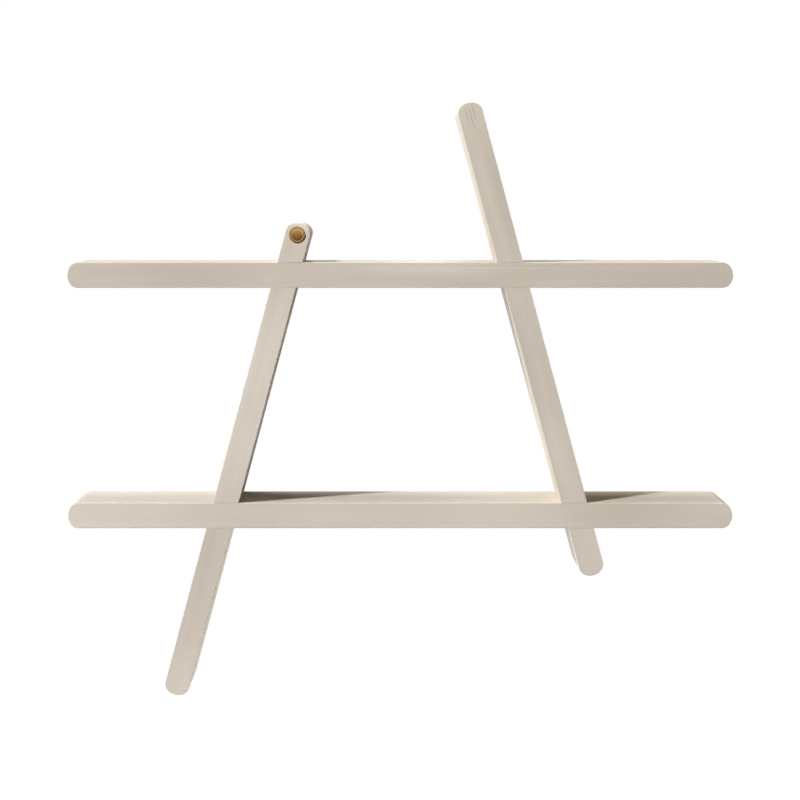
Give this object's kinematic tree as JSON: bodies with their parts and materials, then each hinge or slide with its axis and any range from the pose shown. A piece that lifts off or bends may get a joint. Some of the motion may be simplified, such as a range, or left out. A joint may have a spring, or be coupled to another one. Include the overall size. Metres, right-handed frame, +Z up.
{
  "type": "wall shelf",
  "caption": "Wall shelf of pale stained wood: two level boards with rounded ends, locked by halving joints to two leaning uprights, with a small brass button.",
  "frame": {"origin": "on the wall plane, at the middle of the upper shelf's back edge, between the uprights", "axes": "+X to the viewer's right along the shelves, +Y into the wall, +Z up; the front is at -Y"},
  "size_m": [0.525, 0.1008, 0.4685],
  "materials": {
    "pale_wood": "fine straight grain under a pale matt stain",
    "brass": "satin, turned",
    "plated_steel": "zinc plated, dull",
    "screw_steel": "zinc plated, bright"
  },
  "bodies": {
    "root": {"upper_shelf": "pale_wood", "lower_shelf": "pale_wood", "left_upright": "pale_wood", "right_upright": "pale_wood", "brass_button": "brass", "left_keyhole_hanger": "plated_steel", "right_keyhole_hanger": "plated_steel", "hanger_screws": "screw_steel"}
  },
  "joints": []
}
